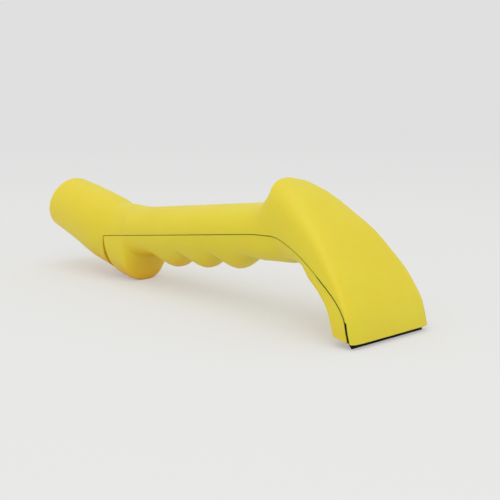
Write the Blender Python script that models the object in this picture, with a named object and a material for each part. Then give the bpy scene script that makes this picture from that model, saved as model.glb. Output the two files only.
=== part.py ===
"""Hand scraper with a hollow body that a vacuum hose draws through.

Two moulded shells meet on a seam that runs along the grip and down the sides of the head. A steel
plate is trapped between them behind the front lip, and the blade is screwed to it from inside the
mouth. Dust goes in behind the blade, through the hollow head and grip, and out of the round tail,
which a hose end plugs into.

Lengths are in metres. The side view is worked out from the blade's edge: X runs forward to the lip,
Z up, and the part stands on the blade's edge and on the heel. The empty named scraper then moves
the middle of the whole length to X = 0.
"""

import math

import bmesh
import bpy
import numpy as np

MM = 0.001
MERGE = 0.001 * MM
SHARP_ANGLE = math.radians(35)
RING_SIDES = 44
BORE_SIDES = 24
ROUND_SIDES = 24
BOSS_SIDES = 20
LOFT_STEP = 5.6 * MM
CUT_OVERRUN = 12.0 * MM

# Moulded shells
WALL = 2.6 * MM
SEAM_GAP = 0.45 * MM
SLIT_TURN = math.radians(8.0)

# Tail tube, which takes the hose end
TUBE_DIAMETER = 38.0 * MM
TUBE_BORE = 32.0 * MM
TAIL_LENGTH = 67.0 * MM
TAIL_TILT = math.radians(15.5)
TAIL_FLARE = 4.0 * MM
TAIL_AXIS_DROP = 4.0 * MM
SOCKET_DEPTH = 40.0 * MM
STOP_BORE = 29.0 * MM
STOP_LENGTH = 2.0 * MM

# Grip
GRIP_SLOPE = math.radians(7.2)
GRIP_WIDTH = 38.0 * MM
GRIP_RISE = 16.5 * MM
GRIP_DROP = 14.3 * MM
FINGER_PITCH = 29.2 * MM
FINGER_DEPTH = 7.8 * MM
FINGER_COUNT = 3
FINGER_START = 40.5 * MM
FINGER_ROWS = 8
NECK_START = FINGER_START + FINGER_PITCH * FINGER_COUNT
NECK_LENGTH = 31.9 * MM
GRIP_LENGTH = NECK_START + NECK_LENGTH
FOOT_CUT = 0.5 * MM

# Head
HEAD_REACH = 68.5 * MM
HEAD_DROP = 44.5 * MM
HEAD_WIDTH = 63.0 * MM
HUMP_RISE = 31.6 * MM
NECK_DROP = 16.8 * MM
NECK_DIP = 1.2 * MM
MOUTH_DEPTH = 14.6 * MM
FRONT_WALL = 2.2 * MM
MOUTH_TILT = math.radians(-12.0)

# Blade and its seat
BLADE_SIDE = 3.0 * MM
BLADE_WIDTH = HEAD_WIDTH - 2 * BLADE_SIDE
BLADE_HEIGHT = 14.0 * MM
BLADE_THICKNESS = 1.2 * MM
BLADE_LEAN = math.radians(14.0)
BLADE_GRIND = 2.4 * MM
BLADE_LAND = 0.15 * MM
LIP_AHEAD = 0.8 * MM
LIP_ABOVE = 3.0 * MM
SEAT_GAP = 0.3 * MM
PLATE_THICKNESS = 1.0 * MM
PLATE_START = 3.4 * MM
PLATE_HEIGHT = 10.0 * MM
PLATE_INSET = 0.6 * MM
SLOT_GAP = 0.15 * MM

# Blade screws and washers
BLADE_SCREW_DIAMETER = 4.0 * MM
BLADE_SCREW_HEAD = 8.0 * MM
BLADE_SCREW_HEAD_HEIGHT = 1.8 * MM
BLADE_SCREW_SPACING = 29.0 * MM
BLADE_SCREW_UP = 8.5 * MM
BLADE_SCREW_TRAVEL = 1.05 * MM
BLADE_SCREW_INSET = 0.1 * MM
BLADE_SCREW_SIDES = {"left": BLADE_SCREW_SPACING / 2, "right": -BLADE_SCREW_SPACING / 2}
WASHER_DIAMETER = 7.6 * MM
WASHER_THICKNESS = 0.9 * MM
WASHER_SPLIT = math.radians(16.0)
HOLE_CLEARANCE = 0.2 * MM
DRIVER_HOLE = 7.0 * MM

# Case screws
CASE_SCREW_DIAMETER = 3.5 * MM
CASE_SCREW_LENGTH = 14.0 * MM
CASE_SCREW_HEAD = 6.4 * MM
CASE_SCREW_HEAD_HEIGHT = 2.4 * MM
CASE_SCREW_TIP = 1.6 * MM
CASE_HEAD_CLEARANCE = 0.4 * MM
CASE_SEAT_FLOOR = 3.2 * MM
BOSS_WALL = 1.8 * MM
HEEL_SCREW_BACK = 4.0 * MM
NECK_SCREW_AHEAD = 3.4 * MM
PILOT_SPARE = 0.7 * MM
HEAD_SCREW_SPACING = 26.0 * MM
HEAD_SCREW_SHARE = 0.435
CASE_SCREWS_ALONG = {
    "heel": FINGER_START - HEEL_SCREW_BACK,
    "grip": FINGER_START + FINGER_PITCH * 2,
    "neck": NECK_START + NECK_SCREW_AHEAD,
}
LOWER_BOSS_RADIUS = CASE_SCREW_HEAD / 2 + CASE_HEAD_CLEARANCE + BOSS_WALL
UPPER_BOSS_RADIUS = CASE_SCREW_DIAMETER / 2 + HOLE_CLEARANCE + BOSS_WALL
RECESS_DEPTH = 1.3 * MM
RECESS_WIDTH = 0.9 * MM
RECESS_LENGTH_SHARE = 0.62

YELLOW = (0.80, 0.68, 0.045, 1.0)
BLADE_STEEL = (0.06, 0.06, 0.065, 1.0)
PLATE_STEEL = (0.035, 0.035, 0.04, 1.0)
ZINC = (0.55, 0.55, 0.56, 1.0)


def direction(angle):
    """Unit vector in the side view."""
    return np.array([math.cos(angle), math.sin(angle)])


# Places and directions on the blade: across it to the front, and up along it.
AHEAD = direction(BLADE_LEAN)
UPWARD = direction(math.pi / 2 + BLADE_LEAN)
BLADE_BACK = -BLADE_THICKNESS
PLATE_BACK = SEAT_GAP
PLATE_FRONT = PLATE_BACK + PLATE_THICKNESS
WASHER_FRONT = BLADE_BACK - SEAT_GAP
WASHER_BACK = WASHER_FRONT - WASHER_THICKNESS
SCREW_SEAT = WASHER_BACK - SEAT_GAP
FLOOR = -BLADE_LAND * AHEAD[1]

# Side view of the spine: the seam's front end is at the lip, just ahead of the blade's edge.
SEAM_END = np.array([LIP_AHEAD, LIP_ABOVE])
HEAD_ROOT = SEAM_END + np.array([-HEAD_REACH, HEAD_DROP])
GRIP_ROOT = HEAD_ROOT + np.array([0, NECK_DIP]) - GRIP_LENGTH * direction(GRIP_SLOPE)
TAIL_RUN = TAIL_LENGTH * direction(math.pi - TAIL_TILT)
GRIP_RIB = math.pi / 2 + GRIP_SLOPE
TAIL_RIB = math.pi / 2 - TAIL_TILT
FAR = TAIL_LENGTH + GRIP_LENGTH + HEAD_REACH + HEAD_DROP

# Each row is a cross-section. Tail: share of the way from the grip to the rim, share of the turn
# of the rib, then the flare above, below and to the side as shares of TAIL_FLARE.
TAIL_SHARES = (
    (1.0, 1.0, 0.0, 0.0, 0.0),
    (0.85, 1.0, 0.3, 0.0, 0.15),
    (0.55, 1.0, 0.75, 0.25, 0.3),
    (0.25, 0.95, 1.05, 0.65, 0.4),
)

# Grip: share of the way along the seam to the finger grips, then the share of the way down to the
# floor under the heel, or the share of TAIL_FLARE that is left on top. The round section and the
# turned rib of the tail end at a share of the same way.
HEEL_SHARES = (
    (0.0, 0.73),
    (0.147, 0.89),
    (0.294, 0.98),
    (0.39, 1.0),
    (0.43, 0.985),
    (0.468, 0.86),
    (0.503, 0.6),
    (0.538, 0.28),
    (0.578, 0.08),
    (0.66, 0.0),
)
TAIL_TOP_SHARES = ((0.0, 0.8), (0.147, 0.72), (0.294, 0.52), (0.423, 0.3), (0.559, 0.1), (0.736, 0.0))
TUBE_END_SHARE = 0.423
ROOT_TURN_SHARE = 0.6
# The hump's back: share of the way along the neck, then of the rise to the hump and of the
# seam's dip under it.
HUMP_SHARES = ((0.408, 0.0), (0.508, 0.03), (0.633, 0.18), (0.768, 0.48), (0.9, 0.8))

# Head: shares of HEAD_REACH and HEAD_DROP, the turn of the rib from the grip's to the mouth's,
# the height above the seam from the hump's to the front wall's, the shallowing of the depth below
# it as a share of the neck's, and the width from the grip's to the mouth's.
HEAD_SHARES = (
    (0.0, 0.0, -0.05, 0.015, 0.0, 0.0),
    (0.125, 0.024, 0.1, 0.165, 0.31, 0.13),
    (0.27, 0.082, 0.25, 0.38, 0.56, 0.31),
    (0.435, 0.175, 0.4, 0.525, 0.73, 0.51),
    (0.58, 0.286, 0.535, 0.665, 0.5, 0.68),
    (0.725, 0.42, 0.66, 0.775, 0.44, 0.81),
    (0.85, 0.563, 0.78, 0.895, 0.25, 0.9),
    (0.936, 0.714, 0.89, 0.965, 0.08, 0.97),
    (0.972, 0.858, 0.96, 0.982, 0.0, 0.99),
    (1.0, 1.0, 1.0, 1.0, 0.0, 1.0),
)

THROAT_SHARE = 0.66
TUBE_POWER = 2.0
GRIP_POWER = 2.3
FINGER_POWER = 5.0
HEEL_POWER = 2.3
HUMP_POWER = 2.3
LIP_POWER = 9.0
THROAT_POWER = 5.0

# A section's row is x, z, rib, rise, drop, half_width, top_power, low_power and the depth of a
# finger lobe under it.
SIZES = slice(3, 6)
LOBE = slice(8, 9)

# Screw head from its seat to its top: shares of its radius and of its height.
SCREW_HEAD_SHARES = ((1.0, 0.0), (1.0, 0.45), (0.9, 0.8), (0.68, 1.0), (0.0, 1.0))
SCREW_POINT_SHARE = 0.25

# Turns of a flat outline: its X and Y become the side view's X and Z, or the front view's Y and Z.
SIDE_VIEW = (math.pi / 2, 0, 0)
FRONT_VIEW = (math.pi / 2, 0, math.pi / 2)


def mix(low, high, share):
    return low + (high - low) * share


def floor_drop(place):
    """Distance from a place on the grip's seam to the floor, along the grip's ribs."""
    return (place[1] + FOOT_CUT) / math.sin(GRIP_RIB)


def lobe_share(along):
    """Share of the finger grips' depth at a distance along the seam: a row of round lobes."""
    turn = (along - FINGER_START) / FINGER_PITCH
    return abs(math.sin(math.pi * turn)) if 0 < turn < FINGER_COUNT else 0.0


def share_at(table, share):
    """Reads a table of pairs at a place between its rows."""
    places, values = zip(*table)
    return float(np.interp(share, places, values))


def tail_rows():
    radius = TUBE_DIAMETER / 2
    start = GRIP_ROOT - np.array([0, TAIL_AXIS_DROP])
    rows = []
    for share, turn, above, below, side in TAIL_SHARES:
        place = start + TAIL_RUN * share
        rib = mix(GRIP_RIB, TAIL_RIB, turn)
        rise = radius + TAIL_FLARE * above
        drop = radius + TAIL_FLARE * below
        rows.append((*place, rib, rise, drop, radius + TAIL_FLARE * side, TUBE_POWER, TUBE_POWER, 0))
    return rows


def grip_rows():
    """Sections of the grip: the heel, then the finger grips, then the neck up to the hump."""
    places = [FINGER_START * share for share, _ in HEEL_SHARES]
    steps = range(FINGER_COUNT * FINGER_ROWS + 1)
    places += [FINGER_START + FINGER_PITCH * step / FINGER_ROWS for step in steps]
    places += [NECK_START + NECK_LENGTH * share for share, _ in HUMP_SHARES]
    neck_end = HUMP_SHARES[0][0]
    rows = []
    for along in places:
        heel = along / FINGER_START
        neck = (along - NECK_START) / NECK_LENGTH
        hump = share_at(HUMP_SHARES, neck)
        place = GRIP_ROOT + along * direction(GRIP_SLOPE) - np.array([0, NECK_DIP * hump])
        round_share = min(heel / TUBE_END_SHARE, 1)
        foot_share = share_at(HEEL_SHARES, heel)
        rib = mix(mix(GRIP_RIB, TAIL_RIB, ROOT_TURN_SHARE), GRIP_RIB, round_share)
        rise = GRIP_RISE + TAIL_FLARE * share_at(TAIL_TOP_SHARES, heel)
        rise = mix(rise, HUMP_RISE, hump)
        drop = mix(GRIP_DROP, floor_drop(place), foot_share)
        drop = mix(drop, NECK_DROP, min(max(neck / neck_end, 0), 1))
        power = mix(TUBE_POWER, GRIP_POWER, round_share)
        foot_power = mix(TUBE_POWER, mix(GRIP_POWER, HEEL_POWER, foot_share), round_share)
        rows.append((*place, rib, rise, drop, GRIP_WIDTH / 2, power, foot_power, 0))
    return rows


def head_rows():
    rows = []
    for along, down, turn, lower, shallow, wider in HEAD_SHARES:
        place = HEAD_ROOT + np.array([HEAD_REACH * along, -HEAD_DROP * down])
        rib = mix(GRIP_RIB, MOUTH_TILT, turn)
        rise = mix(HUMP_RISE, FRONT_WALL, lower)
        drop = mix(NECK_DROP, MOUTH_DEPTH, along) - NECK_DROP * shallow * THROAT_SHARE
        width = mix(GRIP_WIDTH, HEAD_WIDTH, wider)
        top_power = mix(HUMP_POWER, LIP_POWER, along)
        low_power = mix(HUMP_POWER, THROAT_POWER, along)
        rows.append((*place, rib, rise, drop, width / 2, top_power, low_power, 0))
    return rows


def smooth_rows(rows, step):
    """Rows at even steps on a smooth curve through the given ones."""
    rows = np.array(rows)
    gaps = np.linalg.norm(np.diff(rows[:, :2], axis=0), axis=1)
    lengths = np.concatenate([[0], np.cumsum(gaps)])
    slopes = np.gradient(rows, lengths, axis=0)
    found = []
    for index, gap in enumerate(gaps):
        parts = max(1, round(gap / step))
        for part in range(parts):
            t = part / parts
            before = (1 + 2 * t) * (1 - t) ** 2 * rows[index] + t * (1 - t) ** 2 * gap * slopes[index]
            after = t * t * (3 - 2 * t) * rows[index + 1] - t * t * (1 - t) * gap * slopes[index + 1]
            found.append(before + after)
    found.append(rows[-1])
    return found


def body_rows():
    """Sections of the whole body from the rim to the mouth, with the finger lobes on the grip."""
    rows = np.array(smooth_rows(tail_rows() + grip_rows() + head_rows(), LOFT_STEP))
    for row in rows:
        row[LOBE] = FINGER_DEPTH * lobe_share((row[:2] - GRIP_ROOT) @ direction(GRIP_SLOPE))
    return rows


def hollow_rows():
    """Sections of the passage from the hose stop to past the mouth.

    Each is a wall smaller than the body's sections beside it, so that steep walls keep their
    thickness, and it widens to that size from the round hole in the hose stop.
    """
    body = body_rows()
    rows = []
    for depth in (SOCKET_DEPTH - STOP_LENGTH, SOCKET_DEPTH + STOP_LENGTH):
        stop = np.array(tail_rows()[0])
        stop[SIZES] = STOP_BORE / 2
        stop[:2] -= TAIL_RUN / TAIL_LENGTH * depth
        rows.append(stop)
    for row in body:
        if (stop[:2] - row[:2]) @ TAIL_RUN / TAIL_LENGTH < LOFT_STEP:
            continue
        near = body[np.linalg.norm(body[:, :2] - row[:2], axis=1) <= WALL]
        inner = row.copy()
        inner[SIZES] = np.maximum(near[:, SIZES].min(axis=0) - WALL, 0)
        inner[LOBE] = near[:, LOBE].min(axis=0)
        rows.append(inner)
    beyond = rows[-1].copy()
    beyond[:2] -= UPWARD * CUT_OVERRUN
    return [*rows, beyond]


def ring_points(row, count):
    """Points of one section: a rounded box between its top and its underside, with a lobe below."""
    x, z, rib, rise, drop, half_width, top_power, low_power, lobe = row
    centre = (rise - drop) / 2
    half_height = (rise + drop) / 2
    up = direction(rib)
    points = []
    for index in range(count):
        angle = 2 * math.pi * index / count
        across, height = math.cos(angle), math.sin(angle)
        power = top_power if height > 0 else low_power
        y = half_width * math.copysign(abs(across) ** (2 / power), across)
        share = math.copysign(abs(height) ** (2 / power), height)
        level = centre + half_height * share - lobe * max(-share, 0) ** FINGER_POWER
        points.append((x + up[0] * level, y, z + up[1] * level))
    return points


def finish_mesh(name, mesh, parent):
    """Turns a bmesh into an object, with its faces pointing outwards."""
    bmesh.ops.recalc_face_normals(mesh, faces=mesh.faces)
    if mesh.calc_volume(signed=True) < 0:
        bmesh.ops.reverse_faces(mesh, faces=mesh.faces)
    data = bpy.data.meshes.new(name)
    mesh.to_mesh(data)
    mesh.free()
    data.shade_smooth()
    data.set_sharp_from_angle(angle=SHARP_ANGLE)
    made = bpy.data.objects.new(name, data)
    bpy.context.scene.collection.objects.link(made)
    made.parent = parent
    return made


def loft(name, rings, parent):
    """Closed solid through a list of rings with as many points each."""
    mesh = bmesh.new()
    loops = []
    for points in rings:
        corners = [mesh.verts.new(point) for point in points]
        loops.append([mesh.edges.new(pair) for pair in zip(corners, corners[1:] + corners[:1])])
    for first, second in zip(loops, loops[1:]):
        bmesh.ops.bridge_loops(mesh, edges=first + second)
    for end in (loops[0], loops[-1]):
        mesh.faces.new([edge.verts[0] for edge in end])
    bmesh.ops.triangulate(mesh, faces=mesh.faces)
    return finish_mesh(name, mesh, parent)


def slab(name, outline, low, high, parent, turn):
    """Solid with a flat outline between two levels of its own Z."""
    mesh = bmesh.new()
    face = mesh.faces.new([mesh.verts.new((x, y, low)) for x, y in outline])
    grown = bmesh.ops.extrude_face_region(mesh, geom=[face])["geom"]
    verts = [item for item in grown if isinstance(item, bmesh.types.BMVert)]
    bmesh.ops.translate(mesh, verts=verts, vec=(0, 0, high - low))
    made = finish_mesh(name, mesh, parent)
    made.rotation_euler = turn
    return made


def box(name, back, front, low, high, half_width, parent):
    """Block in the side view, as wide on both sides of the middle."""
    outline = [(back, low), (front, low), (front, high), (back, high)]
    return slab(name, outline, -half_width, half_width, parent, SIDE_VIEW)


def turned(name, profile, parent, place, side, angle, sides=ROUND_SIDES):
    """Solid turned from (radius, height) points that start and end on its axis.

    The axis leaves a place of the side view at an angle, at a distance to the side of the middle.
    """
    mesh = bmesh.new()
    corners = [mesh.verts.new((radius, 0, height)) for radius, height in profile]
    edges = [mesh.edges.new(pair) for pair in zip(corners, corners[1:])]
    bmesh.ops.spin(
        mesh, geom=corners + edges, cent=(0, 0, 0), axis=(0, 0, 1), angle=2 * math.pi,
        steps=sides, use_merge=True, use_duplicate=False,
    )
    on_axis = [vert for vert in mesh.verts if math.hypot(vert.co.x, vert.co.y) < MERGE]
    bmesh.ops.remove_doubles(mesh, verts=on_axis, dist=MERGE)
    made = finish_mesh(name, mesh, parent)
    made.location = (place[0], side, place[1])
    made.rotation_euler = (0, math.pi / 2 - angle, 0)
    return made


def rod_profile(radius, low, high):
    return ((0, low), (radius, low), (radius, high), (0, high))


def cut(target, cutters):
    """Takes hidden cutters out of an object in one step, and leaves flat faces for a later cut."""
    group = bpy.data.collections.new(target.name + "_cutters")
    for cutter in cutters:
        cutter.hide_render = True
        cutter.display_type = "WIRE"
        group.objects.link(cutter)
    change = target.modifiers.new("cut", "BOOLEAN")
    change.operand_type = "COLLECTION"
    change.collection = group
    target.modifiers.new("flat_faces", "TRIANGULATE")


def material(name, colour, roughness, metallic):
    made = bpy.data.materials.new(name)
    made.use_nodes = True
    shader = made.node_tree.nodes["Principled BSDF"]
    shader.inputs["Base Color"].default_value = colour
    shader.inputs["Roughness"].default_value = roughness
    shader.inputs["Metallic"].default_value = metallic
    return made


def case_screw_stations():
    """Name, place on the seam, distance to the side and direction of the rib at each case screw."""
    stations = []
    for name, along in CASE_SCREWS_ALONG.items():
        place = GRIP_ROOT + along * direction(GRIP_SLOPE)
        stations.append((name, place, 0, GRIP_RIB))
    shares = [along for along, *_ in HEAD_SHARES]
    row = np.array([np.interp(HEAD_SCREW_SHARE, shares, values) for values in zip(*head_rows())])
    for name, side in (("head_left", 1), ("head_right", -1)):
        stations.append((name, row[:2], side * HEAD_SCREW_SPACING / 2, row[2]))
    return stations


def seam_line(grow):
    """Side view of the slit's edge and of the seam to past the mouth, half of the gap off its middle."""
    offset = grow * SEAM_GAP / 2
    corner = GRIP_ROOT + direction(GRIP_RIB) * offset - np.array([offset, 0])
    neck = [row for row in grip_rows() if (row[:2] - GRIP_ROOT) @ direction(GRIP_SLOPE) > NECK_START]
    rows = smooth_rows(neck + head_rows(), LOFT_STEP)
    line = [corner + FAR * direction(-math.pi / 2 - grow * SLIT_TURN), corner]
    line += [row[:2] + direction(row[2]) * offset for row in rows]
    return [*line, line[-1] - UPWARD * CUT_OVERRUN]


def below_seam(scraper):
    """Everything that the lower shell and the gap round it take up."""
    line = seam_line(1)
    return slab("below_seam", [*line, (line[-1][0], line[0][1])], -HEAD_WIDTH, HEAD_WIDTH, scraper, SIDE_VIEW)


def above_seam(scraper):
    """Everything that the upper shell and the gap round it take up."""
    line = seam_line(-1)
    around = [(FAR, line[-1][1]), (FAR, FAR), (-FAR, FAR), (-FAR, line[0][1])]
    return slab("above_seam", [*line, *around], -HEAD_WIDTH, HEAD_WIDTH, scraper, SIDE_VIEW)


def hollow(scraper):
    """Socket for the hose end, and the passage from it to the mouth round the screw bosses."""
    rim = tail_rows()[0]
    profile = rod_profile(TUBE_BORE / 2, -CUT_OVERRUN, SOCKET_DEPTH)
    socket = turned("socket", profile, scraper, rim[:2], 0, -TAIL_TILT, RING_SIDES)
    rings = [ring_points(row, BORE_SIDES) for row in hollow_rows()]
    passage = loft("passage", rings, scraper)
    profile = (
        (0, -GRIP_WIDTH),
        (LOWER_BOSS_RADIUS, -GRIP_WIDTH),
        (LOWER_BOSS_RADIUS, 0),
        (UPPER_BOSS_RADIUS, 0),
        (UPPER_BOSS_RADIUS, GRIP_WIDTH),
        (0, GRIP_WIDTH),
    )
    bosses = [
        turned("boss_" + name, profile, scraper, place, side, rib, BOSS_SIDES)
        for name, place, side, rib in case_screw_stations()
    ]
    cut(passage, bosses)
    return [socket, passage]


def screw_holes(scraper):
    """A hole for each case screw, with the deep seat of its head on the underside."""
    high = CASE_SCREW_LENGTH - CASE_SEAT_FLOOR + PILOT_SPARE
    hole = CASE_SCREW_DIAMETER / 2 + HOLE_CLEARANCE
    seat = CASE_SCREW_HEAD / 2 + CASE_HEAD_CLEARANCE
    profile = (
        (0, -GRIP_WIDTH),
        (seat, -GRIP_WIDTH),
        (seat, -CASE_SEAT_FLOOR),
        (hole, -CASE_SEAT_FLOOR),
        (hole, high),
        (0, high),
    )
    return [
        turned("hole_" + name, profile, scraper, place, side, rib, BOSS_SIDES)
        for name, place, side, rib in case_screw_stations()
    ]


def seat_pockets(seat):
    """A slot for the plate through the walls beside the mouth, and room for the blade in them."""
    back, front = PLATE_BACK - SLOT_GAP, PLATE_FRONT + SLOT_GAP
    top = PLATE_START + PLATE_HEIGHT + SLOT_GAP
    plate = box("plate_slot", back, front, -CUT_OVERRUN, top, HEAD_WIDTH, seat)
    back, top = BLADE_BACK - SEAT_GAP, BLADE_HEIGHT + SEAT_GAP
    half_width = BLADE_WIDTH / 2 + SEAT_GAP
    blade = box("blade_pocket", back, SEAT_GAP, -CUT_OVERRUN, top, half_width, seat)
    return [plate, blade]


def driver_holes(seat):
    """Round notches in the rear lip, for a screwdriver on its way to the blade screws."""
    near = BLADE_SCREW_HEAD_HEIGHT + 2 * BLADE_SCREW_TRAVEL
    profile = rod_profile(DRIVER_HOLE / 2, near, near + HEAD_WIDTH)
    return [
        turned("driver_hole_" + name, profile, seat, (SCREW_SEAT, BLADE_SCREW_UP), side, math.pi)
        for name, side in BLADE_SCREW_SIDES.items()
    ]


def add_shells(scraper, seat, plastic):
    both = [*hollow(scraper), *screw_holes(scraper), *seat_pockets(seat)]
    rings = [ring_points(row, RING_SIDES) for row in body_rows()]
    upper = loft("upper_shell", rings, scraper)
    cut(upper, [below_seam(scraper), *both])
    lower = loft("lower_shell", rings, scraper)
    floor = box("floor", -FAR, FAR, FLOOR - FAR, FLOOR, HEAD_WIDTH, scraper)
    cut(lower, [above_seam(scraper), *both, *driver_holes(seat), floor])
    for shell in (upper, lower):
        shell.data.materials.append(plastic)


def add_blade(seat, steel):
    outline = (
        (0, 0),
        (0, BLADE_HEIGHT),
        (BLADE_BACK, BLADE_HEIGHT),
        (BLADE_BACK, BLADE_GRIND),
        (-BLADE_LAND, 0),
    )
    blade = slab("blade", outline, -BLADE_WIDTH / 2, BLADE_WIDTH / 2, seat, SIDE_VIEW)
    blade.data.materials.append(steel)
    radius = BLADE_SCREW_DIAMETER / 2 + HOLE_CLEARANCE
    top = BLADE_HEIGHT + CUT_OVERRUN
    slots = []
    for name, side in BLADE_SCREW_SIDES.items():
        outline = [(side + radius, top), (side - radius, top)]
        for step in range(BOSS_SIDES // 2 + 1):
            angle = math.pi * (1 + 2 * step / BOSS_SIDES)
            outline.append((side + radius * math.cos(angle), BLADE_SCREW_UP + radius * math.sin(angle)))
        slots.append(slab("blade_slot_" + name, outline, -CUT_OVERRUN, CUT_OVERRUN, seat, FRONT_VIEW))
    cut(blade, slots)


def add_plate(seat, steel):
    """Backing plate, held at both ends between the shells, with the screws' tapped holes."""
    half_width = HEAD_WIDTH / 2 - PLATE_INSET
    top = PLATE_START + PLATE_HEIGHT
    plate = box("backing_plate", PLATE_BACK, PLATE_FRONT, PLATE_START, top, half_width, seat)
    plate.data.materials.append(steel)
    profile = rod_profile(BLADE_SCREW_DIAMETER / 2 + HOLE_CLEARANCE, -CUT_OVERRUN, CUT_OVERRUN)
    holes = [
        turned("tapped_hole_" + name, profile, seat, (0, BLADE_SCREW_UP), side, math.pi)
        for name, side in BLADE_SCREW_SIDES.items()
    ]
    cut(plate, holes)


def add_washer(name, side, seat, steel):
    """Spring washer: a flat ring cut through once, under a blade screw's head."""
    inner, outer = BLADE_SCREW_DIAMETER / 2 + HOLE_CLEARANCE, WASHER_DIAMETER / 2
    section = ((inner, 0), (outer, 0), (outer, WASHER_THICKNESS), (inner, WASHER_THICKNESS))
    rings = []
    for step in range(ROUND_SIDES + 1):
        angle = mix(WASHER_SPLIT / 2, 2 * math.pi - WASHER_SPLIT / 2, step / ROUND_SIDES)
        across, up = math.cos(angle), math.sin(angle)
        rings.append([(across * radius, up * radius, level) for radius, level in section])
    washer = loft(name, rings, seat)
    washer.location = (WASHER_FRONT, side, BLADE_SCREW_UP)
    washer.rotation_euler = (0, -math.pi / 2, 0)
    washer.data.materials.append(steel)


def add_screw(name, sizes, parent, place, side, angle, steel):
    """Screw with a cross recess; its axis leaves the seat of its head away from the shank."""
    diameter, length, point, head, head_height = sizes
    radius = diameter / 2
    profile = [(0, -length), (radius * SCREW_POINT_SHARE if point else radius, -length)]
    profile += [(radius, point - length), (radius, 0)] if point else [(radius, 0)]
    profile += [(head / 2 * wide, head_height * high) for wide, high in SCREW_HEAD_SHARES]
    screw = turned(name, profile, parent, place, side, angle)
    screw.data.materials.append(steel)
    arm, half = RECESS_LENGTH_SHARE * head / 2, RECESS_WIDTH / 2
    corner = [(arm, -half), (arm, half), (half, half)]
    outline = []
    for across, up in ((1, 0), (0, 1), (-1, 0), (0, -1)):
        outline += [(x * across - y * up, x * up + y * across) for x, y in corner]
    depth = head_height - RECESS_DEPTH
    recess = slab(name + "_recess", outline, depth, head_height + CUT_OVERRUN, parent, (0, 0, 0))
    recess.location = screw.location
    recess.rotation_euler = screw.rotation_euler
    cut(screw, [recess])


def add_fasteners(scraper, seat, zinc):
    sizes = (
        CASE_SCREW_DIAMETER, CASE_SCREW_LENGTH, CASE_SCREW_TIP, CASE_SCREW_HEAD, CASE_SCREW_HEAD_HEIGHT,
    )
    for name, place, side, rib in case_screw_stations():
        bearing = place - direction(rib) * CASE_SEAT_FLOOR
        add_screw("case_screw_" + name, sizes, scraper, bearing, side, rib + math.pi, zinc)
    length = PLATE_FRONT - SCREW_SEAT - BLADE_SCREW_INSET
    sizes = (BLADE_SCREW_DIAMETER, length, 0, BLADE_SCREW_HEAD, BLADE_SCREW_HEAD_HEIGHT)
    for name, side in BLADE_SCREW_SIDES.items():
        add_washer("lock_washer_" + name, side, seat, zinc)
        add_screw("blade_screw_" + name, sizes, seat, (SCREW_SEAT, BLADE_SCREW_UP), side, math.pi, zinc)


def main():
    for old in list(bpy.data.objects):
        bpy.data.objects.remove(old)
    scraper = bpy.data.objects.new("scraper", None)
    seat = bpy.data.objects.new("blade_seat", None)
    for empty in (scraper, seat):
        bpy.context.scene.collection.objects.link(empty)
    x, _, rib, _, drop, *_ = tail_rows()[0]
    back = x - drop * math.cos(rib)
    front = SEAM_END[0] + FRONT_WALL * math.cos(MOUTH_TILT)
    scraper.location = (-(back + front) / 2, 0, -FLOOR)
    seat.parent = scraper
    seat.rotation_euler = (0, -BLADE_LEAN, 0)
    add_shells(scraper, seat, material("yellow_plastic", YELLOW, 0.5, 0))
    add_blade(seat, material("blade_steel", BLADE_STEEL, 0.35, 1))
    add_plate(seat, material("plate_steel", PLATE_STEEL, 0.5, 1))
    add_fasteners(scraper, seat, material("zinc", ZINC, 0.4, 1))


main()
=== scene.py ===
"""Looks of the hand scraper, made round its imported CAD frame."""

import math

import bmesh
import bpy
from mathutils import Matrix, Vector
from mathutils.bvhtree import BVHTree


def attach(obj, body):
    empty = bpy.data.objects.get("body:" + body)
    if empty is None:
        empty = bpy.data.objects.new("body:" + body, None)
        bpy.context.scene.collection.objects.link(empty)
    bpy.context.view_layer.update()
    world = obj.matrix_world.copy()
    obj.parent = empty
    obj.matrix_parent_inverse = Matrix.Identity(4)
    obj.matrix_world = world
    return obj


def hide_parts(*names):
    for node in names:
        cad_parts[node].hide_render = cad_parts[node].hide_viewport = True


MM = 0.001

# Colours, as sRGB hex values.
ABS_YELLOW = "#EAD928"
ABS_YELLOW_DEEP = "#E6CD1E"
# The next two colours are painted shade: a warm orange for hidden places and a dark brown for the seams.
ABS_PAINTED_SHADE = "#F0A818"
PAINTED_SEAM_SHADE = "#2E1400"
BLADE_BLACK = "#161618"
BLADE_GROUND = "#A9ABAE"
OXIDE_BLACK = "#1B1B1D"
ZINC = "#C4C6C8"
ZINC_DULL = "#9DA0A3"
FLOOR = "#E6E6E5"
FLOOR_SEEN = "#EAEAEA"
BACKDROP = "#E0E0E0"
DAYLIGHT = "#FFFFFF"

# The camera that was fitted to the outline in the photo.
CAMERA_PLACE = Vector((463.05, -393.51, 137.6)) * MM
CAMERA_ELEVATION = math.radians(10.298)
CAMERA_AZIMUTH = math.radians(46.928)
LENS = 72
SENSOR = 36

# The share of the floor's brightness near the tool that takes no shadow, as under wide studio light.
SHADOW_FILL = 0.4

# The studio: its even light, the floor's size and how far it lies under the part, so that the two don't
# flicker, and the distances between which its shadow and its tone fade into the backdrop.
STUDIO_LIGHT = 0.79
FLOOR_RADIUS = 40
FLOOR_DROP = 0.05 * MM
SHADOW_FADE = (0.4, 3.0)
TONE_FADE = (0.2, 3.0)

# A Mix node's colours, by number, because its sockets share their names.
FIRST_COLOUR = 6
SECOND_COLOUR = 7
MIXED_COLOUR = 2
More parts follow.
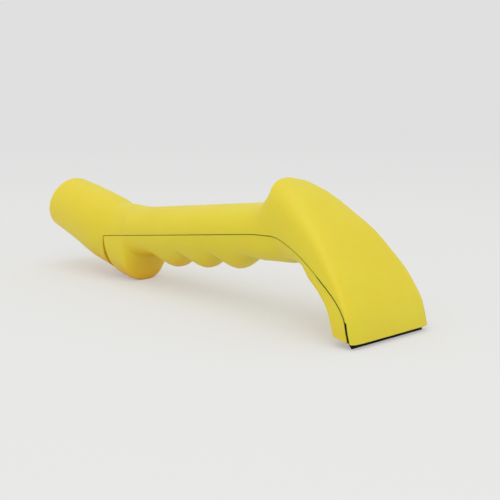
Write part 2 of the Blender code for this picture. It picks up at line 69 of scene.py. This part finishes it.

# The moulded plastic: the size of its flow marks and of its grain, the grain's depth, how round its
# edges are, how near a wall has to be for the painted warm shade, and how near for the painted shade in
# the seams, where along X that seam shade begins and where it is darkest, and how deep light goes into it.
FLOW_SIZE = 1000 / 28 * MM
GRAIN_SIZE = 0.5 * MM
GRAIN_DEPTH = 0.05 * MM
EDGE_RADIUS = 0.45 * MM
SHADE_REACH = 30 * MM
SEAM_SHADE_REACH = 1.5 * MM
SEAM_SHADE_BEGINS_X = -100 * MM
SEAM_SHADE_DARKEST_X = 100 * MM
LIGHT_DEPTH = 5 * MM

# The steels: the size of the zinc's clouds, the marks' width and length, and the relief of them all.
CLOUD_SIZE = 5 / 3 * MM
ROLLING_MARK = (1 / 3 * MM, 50 / 3 * MM)
GRINDING_MARK = (1 / 9 * MM, 10 / 3 * MM)
STEEL_RELIEF = 0.02 * MM

# What is joined or dropped in the copies of the solids, and the angle from which an edge is sharp.
SAME_PLACE = 0.002 * MM
SLIVER = 0.02 * MM
SHARP_FROM = math.radians(34)

# The shells' seam: how far the other shell may be, the tongue that closes the gap where the seam is
# about level, and how much further it opens on the head.
SEAM_REACH = 0.7 * MM
LEVEL_FROM = 0.85
TONGUE_INSET = 0.9 * MM
TONGUE_RISE = 0.4 * MM
SEAM_OPEN = 0.3 * MM

# The blade's flat side, how high its ground edge reaches, and how squarely a face may look out of the
# flat side or of the blade's end and still be part of that edge.
BLADE_LEAN = math.radians(14)
BLADE_FACE = Vector((math.cos(BLADE_LEAN), 0, math.sin(BLADE_LEAN)))
EDGE_HEIGHT = 2.5 * MM
FLAT_FROM = 0.99
END_FROM = 0.5

# What is not of the housing's body, and the slot of what is no fastener.
BODIES = {
    "blade": "blade",
    "blade_screw_left": "screw_left",
    "lock_washer_left": "screw_left",
    "blade_screw_right": "screw_right",
    "lock_washer_right": "screw_right",
}
SLOTS = {"upper_shell": "housing", "lower_shell": "housing", "backing_plate": "plate", "blade": "blade"}


def linear(colour):
    """An sRGB hex colour as linear red, green, blue and alpha."""
    shares = [int(colour[at : at + 2], 16) / 255 for at in (1, 3, 5)]
    return [s / 12.92 if s <= 0.04045 else ((s + 0.055) / 1.055) ** 2.4 for s in shares] + [1.0]


def add_node(tree, kind, inputs=(), **settings):
    """Adds a node. inputs are pairs of a socket and its value, or the output that it links to."""
    made = tree.nodes.new(kind)
    for name, value in settings.items():
        setattr(made, name, value)
    for socket, value in inputs:
        if isinstance(value, bpy.types.NodeSocket):
            tree.links.new(value, made.inputs[socket])
        else:
            made.inputs[socket].default_value = value
    return made


def new_material(name):
    """An empty material, its node tree and its place in Object coordinates."""
    material = bpy.data.materials.new(name)
    material.use_nodes = True
    tree = material.node_tree
    tree.nodes.clear()
    place = add_node(tree, "ShaderNodeTexCoord").outputs["Object"]
    return material, tree, place


def finish_material(tree, colour, roughness, normal, **sockets):
    """The Principled shader and the output of a material."""
    inputs = [("Base Color", colour), ("Roughness", roughness), ("Normal", normal)]
    inputs += [(name.replace("_", " "), value) for name, value in sockets.items()]
    shader = add_node(tree, "ShaderNodeBsdfPrincipled", inputs)
    add_node(tree, "ShaderNodeOutputMaterial", [("Surface", shader.outputs["BSDF"])])


def moulded_abs(name, colour, deep_colour, roughness):
    """ABS, injection moulded in a spark-eroded mould: an even fine grain that spreads the highlights.
    The real grain is about 0.1 mm; it is drawn 0.5 mm coarse so that it shows. Its edges are as round
    as the mould leaves them. Light goes a little way into the plastic. Where walls are near, a warm orange
    shade is painted on it, and a dark painted shade sits in the seams and crevices, darkest near the mouth."""
    material, tree, place = new_material(name)
    flow = add_node(
        tree, "ShaderNodeTexNoise", [("Vector", place), ("Scale", 1 / FLOW_SIZE), ("Detail", 3.0)]
    )
    tint = add_node(
        tree,
        "ShaderNodeMix",
        [
            ("Factor", flow.outputs["Fac"]),
            (FIRST_COLOUR, linear(colour)),
            (SECOND_COLOUR, linear(deep_colour)),
        ],
        data_type="RGBA",
    )
    grain = add_node(
        tree, "ShaderNodeTexNoise", [("Vector", place), ("Scale", 1 / GRAIN_SIZE), ("Detail", 2.0)]
    )
    gloss = add_node(
        tree,
        "ShaderNodeMapRange",
        [
            ("Value", flow.outputs["Fac"]),
            ("From Min", 0.3),
            ("From Max", 0.7),
            ("To Min", roughness - 0.04),
            ("To Max", roughness + 0.05),
        ],
    )
    rounded = add_node(tree, "ShaderNodeBevel", [("Radius", EDGE_RADIUS)], samples=6)
    bump = add_node(
        tree,
        "ShaderNodeBump",
        [
            ("Height", grain.outputs["Fac"]),
            ("Strength", 0.35),
            ("Distance", GRAIN_DEPTH),
            ("Normal", rounded.outputs["Normal"]),
        ],
    )
    # Painted shade: the colour turns a warm orange where walls within SHADE_REACH hide the surface.
    hidden = add_node(tree, "ShaderNodeAmbientOcclusion", [("Distance", SHADE_REACH)], samples=8)
    depth = add_node(
        tree,
        "ShaderNodeMapRange",
        [
            ("Value", hidden.outputs["AO"]),
            ("From Min", 0.1),
            ("From Max", 0.72),
            ("To Min", 0.75),
            ("To Max", 0.0),
        ],
    )
    painted_warm_shade = add_node(
        tree,
        "ShaderNodeMix",
        [
            ("Factor", depth.outputs["Result"]),
            (FIRST_COLOUR, tint.outputs[MIXED_COLOUR]),
            (SECOND_COLOUR, linear(ABS_PAINTED_SHADE)),
        ],
        data_type="RGBA",
    )
    # Painted shade: a dark brown in the seams and narrow crevices, darker towards the mouth.
    crevice = add_node(tree, "ShaderNodeAmbientOcclusion", [("Distance", SEAM_SHADE_REACH)], samples=8)
    seam_shade_share = add_node(
        tree,
        "ShaderNodeMapRange",
        [
            ("Value", crevice.outputs["AO"]),
            ("From Min", 0.2),
            ("From Max", 0.7),
            ("To Min", 1.0),
            ("To Max", 0.0),
        ],
    )
    along = add_node(tree, "ShaderNodeSeparateXYZ", [("Vector", place)])
    nearer = add_node(
        tree,
        "ShaderNodeMapRange",
        [("Value", along.outputs["X"]), ("From Min", SEAM_SHADE_BEGINS_X), ("From Max", SEAM_SHADE_DARKEST_X)],
    )
    amount = add_node(
        tree,
        "ShaderNodeMath",
        [(0, seam_shade_share.outputs["Result"]), (1, nearer.outputs["Result"])],
        operation="MULTIPLY",
    )
    seam_shaded_colour = add_node(
        tree,
        "ShaderNodeMix",
        [
            ("Factor", amount.outputs["Value"]),
            (FIRST_COLOUR, painted_warm_shade.outputs[MIXED_COLOUR]),
            (SECOND_COLOUR, linear(PAINTED_SEAM_SHADE)),
        ],
        data_type="RGBA",
    )
    finish_material(
        tree, seam_shaded_colour.outputs[MIXED_COLOUR], gloss.outputs["Result"], bump.outputs["Normal"], IOR=1.54,
        Subsurface_Weight=0.5, Subsurface_Radius=(1.0, 0.45, 0.06), Subsurface_Scale=LIGHT_DEPTH,
    )
    return material


def zinc_plated_steel():
    """Steel with bright zinc plating: a cool bright metal with faint cloudy patches."""
    material, tree, place = new_material("zinc_plated_steel")
    cloud = add_node(
        tree, "ShaderNodeTexNoise", [("Vector", place), ("Scale", 1 / CLOUD_SIZE), ("Detail", 3.0)]
    )
    tint = add_node(
        tree,
        "ShaderNodeMix",
        [
            ("Factor", cloud.outputs["Fac"]),
            (FIRST_COLOUR, linear(ZINC)),
            (SECOND_COLOUR, linear(ZINC_DULL)),
        ],
        data_type="RGBA",
    )
    gloss = add_node(
        tree,
        "ShaderNodeMapRange",
        [("Value", cloud.outputs["Fac"]), ("To Min", 0.25), ("To Max", 0.45)],
    )
    bump = add_node(
        tree,
        "ShaderNodeBump",
        [("Height", cloud.outputs["Fac"]), ("Strength", 0.15), ("Distance", STEEL_RELIEF)],
    )
    finish_material(
        tree, tint.outputs[MIXED_COLOUR], gloss.outputs["Result"], bump.outputs["Normal"], Metallic=1.0
    )
    return material


def blackened_steel(name, colour, roughness):
    """Steel blackened in an oxide bath: near black, a little oily, with faint rolling marks."""
    material, tree, place = new_material(name)
    width, length = ROLLING_MARK
    stretched = add_node(
        tree, "ShaderNodeMapping", [("Vector", place), ("Scale", (1 / width, 1 / length, 1 / width))]
    )
    marks = add_node(
        tree,
        "ShaderNodeTexNoise",
        [("Vector", stretched.outputs["Vector"]), ("Scale", 1.0), ("Detail", 3.0)],
    )
    gloss = add_node(
        tree,
        "ShaderNodeMapRange",
        [("Value", marks.outputs["Fac"]), ("To Min", roughness - 0.1), ("To Max", roughness + 0.1)],
    )
    bump = add_node(
        tree,
        "ShaderNodeBump",
        [("Height", marks.outputs["Fac"]), ("Strength", 0.2), ("Distance", STEEL_RELIEF)],
    )
    finish_material(tree, linear(colour), gloss.outputs["Result"], bump.outputs["Normal"], Metallic=1.0)
    return material


def ground_steel():
    """Bare steel with fine grinding marks across the cutting edge."""
    material, tree, place = new_material("ground_steel")
    width, length = GRINDING_MARK
    stretched = add_node(
        tree, "ShaderNodeMapping", [("Vector", place), ("Scale", (1 / length, 1 / width, 1 / length))]
    )
    marks = add_node(
        tree,
        "ShaderNodeTexNoise",
        [("Vector", stretched.outputs["Vector"]), ("Scale", 1.0), ("Detail", 2.0)],
    )
    gloss = add_node(
        tree, "ShaderNodeMapRange", [("Value", marks.outputs["Fac"]), ("To Min", 0.2), ("To Max", 0.4)]
    )
    bump = add_node(
        tree,
        "ShaderNodeBump",
        [("Height", marks.outputs["Fac"]), ("Strength", 0.3), ("Distance", STEEL_RELIEF)],
    )
    finish_material(
        tree, linear(BLADE_GROUND), gloss.outputs["Result"], bump.outputs["Normal"], Metallic=1.0
    )
    return material


def merged_copy(node):
    """A CAD node's shape as a bmesh of joined faces, without its thinnest slivers."""
    shape = bmesh.new()
    shape.from_mesh(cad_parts[node].data)
    bmesh.ops.remove_doubles(shape, verts=shape.verts, dist=SAME_PLACE)
    bmesh.ops.dissolve_degenerate(shape, edges=shape.edges, dist=SLIVER)
    for face in shape.faces:
        face.material_index = 0
    return shape


def finish_piece(shape, node, finishes):
    """Shades a shape smooth between its sharp edges and puts it in its CAD node's place."""
    for face in shape.faces:
        face.smooth = True
    for edge in shape.edges:
        edge.smooth = edge.is_manifold and edge.calc_face_angle() < SHARP_FROM
    mesh = bpy.data.meshes.new(node + "_piece")
    shape.to_mesh(mesh)
    shape.free()
    slot = SLOTS.get(node, "fasteners")
    for finish in finishes[slot]:
        mesh.materials.append(finish)
    piece = bpy.data.objects.new(node + "_piece", mesh)
    bpy.context.scene.collection.objects.link(piece)
    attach(piece, BODIES.get(node, "housing"))
    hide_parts(node)


def dress_seam(lower, upper):
    """Raises a tongue along the level part of the seam, so that it is a shallow groove there, and opens
    the seam on the head, so that its line is darker there."""
    other = BVHTree.FromBMesh(upper)
    level = []
    normals = {}
    for face in lower.faces:
        hit = other.ray_cast(face.calc_center_median(), face.normal, SEAM_REACH)
        if hit[0] and face.normal.z > LEVEL_FROM:
            level.append(face)
        elif hit[0] and face.normal.x > 0:
            for vert in face.verts:
                normals.setdefault(vert, set()).add(face.normal.copy().freeze())
    for vert, around in normals.items():
        vert.co -= sum(around, Vector()).normalized() * SEAM_OPEN
    bmesh.ops.inset_region(
        lower,
        faces=level,
        use_boundary=True,
        use_even_offset=True,
        thickness=TONGUE_INSET,
        depth=TONGUE_RISE,
    )


def mark_ground_edge(blade):
    """Gives the faces of the blade's cutting edge their second material."""
    for face in blade.faces:
        low = face.calc_center_median().z < EDGE_HEIGHT
        flat = abs(face.normal.dot(BLADE_FACE)) >= FLAT_FROM
        end = abs(face.normal.y) >= END_FROM
        face.material_index = int(low and not flat and not end)


def add_camera():
    """The camera that sees the tool as the photo does."""
    data = bpy.data.cameras.new("photo_camera")
    data.lens = LENS
    data.sensor_width = SENSOR
    data.clip_start = 10 * MM
    data.clip_end = 100
    camera = bpy.data.objects.new("photo_camera", data)
    flat = math.cos(CAMERA_ELEVATION)
    ahead = Vector(
        (-math.sin(CAMERA_AZIMUTH) * flat, math.cos(CAMERA_AZIMUTH) * flat, -math.sin(CAMERA_ELEVATION))
    )
    camera.location = CAMERA_PLACE
    camera.rotation_euler = ahead.to_track_quat("-Z", "Y").to_euler()
    bpy.context.scene.collection.objects.link(camera)
    bpy.context.scene.camera = camera


def add_lamp(name, place, size, watts):
    """A round softbox that looks at the tool."""
    data = bpy.data.lights.new(name, "AREA")
    data.shape = "DISK"
    data.size = size
    data.energy = watts
    lamp = bpy.data.objects.new(name, data)
    lamp.location = place
    lamp.rotation_euler = (-Vector(place)).to_track_quat("-Z", "Y").to_euler()
    bpy.context.scene.collection.objects.link(lamp)


def seen_straight(tree):
    """1 for a ray that the camera, metal or glass sees straight, and 0 for one that lights something."""
    path = add_node(tree, "ShaderNodeLightPath").outputs
    seen = path["Is Camera Ray"]
    for ray in ("Is Glossy Ray", "Is Transmission Ray"):
        seen = add_node(tree, "ShaderNodeMath", [(0, seen), (1, path[ray])], operation="MAXIMUM").outputs[0]
    return seen


def add_floor():
    """A pale floor that fades into the backdrop's colour far away, so that no horizon shows."""
    mesh = bpy.data.meshes.new("floor")
    shape = bmesh.new()
    bmesh.ops.create_circle(shape, cap_ends=True, radius=FLOOR_RADIUS, segments=64)
    shape.to_mesh(mesh)
    shape.free()
    floor = bpy.data.objects.new("floor", mesh)
    floor.location.z = -FLOOR_DROP
    bpy.context.scene.collection.objects.link(floor)
    material, tree, place = new_material("matt_paper_floor")
    away = add_node(tree, "ShaderNodeVectorMath", [(0, place)], operation="LENGTH")
    seen = seen_straight(tree)
    even = add_node(
        tree,
        "ShaderNodeMapRange",
        [
            ("Value", away.outputs["Value"]),
            ("From Min", SHADOW_FADE[0]),
            ("From Max", SHADOW_FADE[1]),
            ("To Min", SHADOW_FILL),
        ],
        interpolation_type="SMOOTHSTEP",
    )
    tone = add_node(
        tree,
        "ShaderNodeMapRange",
        [("Value", away.outputs["Value"]), ("From Min", TONE_FADE[0]), ("From Max", TONE_FADE[1])],
        interpolation_type="SMOOTHSTEP",
    )
    colour = add_node(
        tree,
        "ShaderNodeMix",
        [
            ("Factor", tone.outputs["Result"]),
            (FIRST_COLOUR, linear(FLOOR_SEEN)),
            (SECOND_COLOUR, linear(BACKDROP)),
        ],
        data_type="RGBA",
    )
    share = add_node(tree, "ShaderNodeMath", [(0, even.outputs["Result"]), (1, seen)], operation="MULTIPLY")
    paper = add_node(tree, "ShaderNodeBsdfDiffuse", [("Color", linear(FLOOR))])
    haze = add_node(tree, "ShaderNodeEmission", [("Color", colour.outputs[MIXED_COLOUR])])
    mixed = add_node(
        tree,
        "ShaderNodeMixShader",
        [(0, share.outputs["Value"]), (1, paper.outputs["BSDF"]), (2, haze.outputs["Emission"])],
    )
    add_node(tree, "ShaderNodeOutputMaterial", [("Surface", mixed.outputs["Shader"])])
    mesh.materials.append(material)


def add_world(strength):
    """Even studio light, and the backdrop's colour where the camera, metal or glass sees it."""
    world = bpy.data.worlds.new("studio")
    bpy.context.scene.world = world
    world.use_nodes = True
    tree = world.node_tree
    tree.nodes.clear()
    seen = seen_straight(tree)
    light = add_node(
        tree, "ShaderNodeBackground", [("Color", linear(DAYLIGHT)), ("Strength", strength)]
    )
    backdrop = add_node(tree, "ShaderNodeBackground", [("Color", linear(BACKDROP))])
    mixed = add_node(
        tree,
        "ShaderNodeMixShader",
        [(0, seen), (1, light.outputs["Background"]), (2, backdrop.outputs["Background"])],
    )
    add_node(tree, "ShaderNodeOutputWorld", [("Surface", mixed.outputs["Shader"])])


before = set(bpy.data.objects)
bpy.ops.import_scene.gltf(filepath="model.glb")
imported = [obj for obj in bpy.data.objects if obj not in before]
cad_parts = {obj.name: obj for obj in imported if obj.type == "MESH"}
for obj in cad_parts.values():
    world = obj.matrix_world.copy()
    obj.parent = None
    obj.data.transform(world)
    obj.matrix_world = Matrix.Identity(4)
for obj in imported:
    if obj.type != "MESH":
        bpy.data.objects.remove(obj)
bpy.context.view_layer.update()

finishes = {
    "housing": [moulded_abs("moulded_yellow_abs", ABS_YELLOW, ABS_YELLOW_DEEP, 0.5)],
    "plate": [blackened_steel("black_oxide_steel", OXIDE_BLACK, 0.45)],
    "blade": [blackened_steel("hardened_blade_steel", BLADE_BLACK, 0.35), ground_steel()],
    "fasteners": [zinc_plated_steel()],
}
shapes = {node: merged_copy(node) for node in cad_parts}
dress_seam(shapes["lower_shell"], shapes["upper_shell"])
mark_ground_edge(shapes["blade"])
for node, shape in shapes.items():
    finish_piece(shape, node, finishes)

bpy.context.scene.view_settings.view_transform = "Standard"
add_camera()
add_world(STUDIO_LIGHT)
add_floor()
add_lamp("overhead_softbox", place=(0.1, -0.25, 1.5), size=1.6, watts=4.5)
add_lamp("front_softbox", place=(1.0, -0.9, 0.9), size=0.9, watts=2.4)
